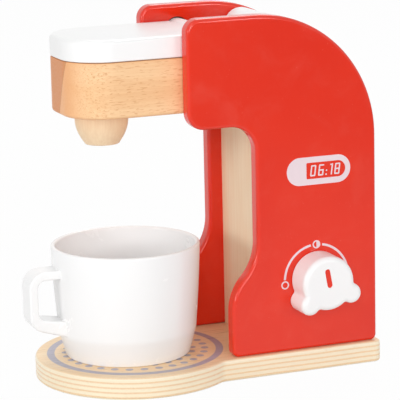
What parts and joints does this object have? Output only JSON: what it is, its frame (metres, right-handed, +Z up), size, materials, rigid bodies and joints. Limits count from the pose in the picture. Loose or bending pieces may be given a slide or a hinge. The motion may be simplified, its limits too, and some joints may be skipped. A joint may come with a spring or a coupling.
{
  "type": "toy coffee maker",
  "caption": "Wooden toy coffee maker: red side panels, beech brewing head with hinged white lid and pod well, lift-out water tank, turning selector knob, plywood stand and a loose white mug.",
  "frame": {"origin": "middle of the round drip area, on the stand's underside", "axes": "+X across the body towards the knob, +Y from the mug's side to the back, +Z up"},
  "size_m": [0.1118, 0.1922, 0.198],
  "materials": {
    "red_lacquer": "satin lacquer",
    "white_lacquer": "satin lacquer",
    "beech": "clear satin",
    "pale_wood": "clear satin",
    "birch_board": "clear satin",
    "birch_ply": "clear satin, plies seen at the edge",
    "dowel_wood": "raw",
    "mug_white": "gloss",
    "steel": "zinc plated"
  },
  "bodies": {
    "machine": {"base_plate": "birch_ply", "left_panel": "red_lacquer", "right_panel": "red_lacquer", "front_board": "birch_board", "back_board": "birch_board", "tank_shelf": "birch_board", "head_block": "beech", "spout": "pale_wood", "hinge_pin": "steel", "head_dowels": "dowel_wood", "board_dowels": "dowel_wood", "shelf_dowels": "dowel_wood", "base_screws": "steel"},
    "lid": {"lid": "white_lacquer"},
    "tank": {"water_tank": "white_lacquer"},
    "selector": {"knob": "white_lacquer", "knob_screw": "steel", "knob_washer": "steel"},
    "mug": {"mug_cup": "mug_white", "mug_handle": "mug_white"}
  },
  "joints": [
    {"name": "lid_hinge", "type": "hinge", "parent": "machine", "child": "lid", "pos_m": [0, 0.041, 0.1837], "axis": [-1, 0, 0], "range_deg": [0, 100]},
    {"name": "tank_lift", "type": "slide", "parent": "machine", "child": "tank", "axis": [0, 0, 1], "range_m": [0, 0.06]},
    {"name": "knob_turn", "type": "hinge", "parent": "machine", "child": "selector", "pos_m": [0.0395, 0.0924, 0.0518], "axis": [1, 0, 0], "range_deg": [-107, 86]},
    {"name": "mug_slide", "type": "slide", "parent": "machine", "child": "mug", "axis": [0, -1, 0], "range_m": [0, 0.09]}
  ]
}
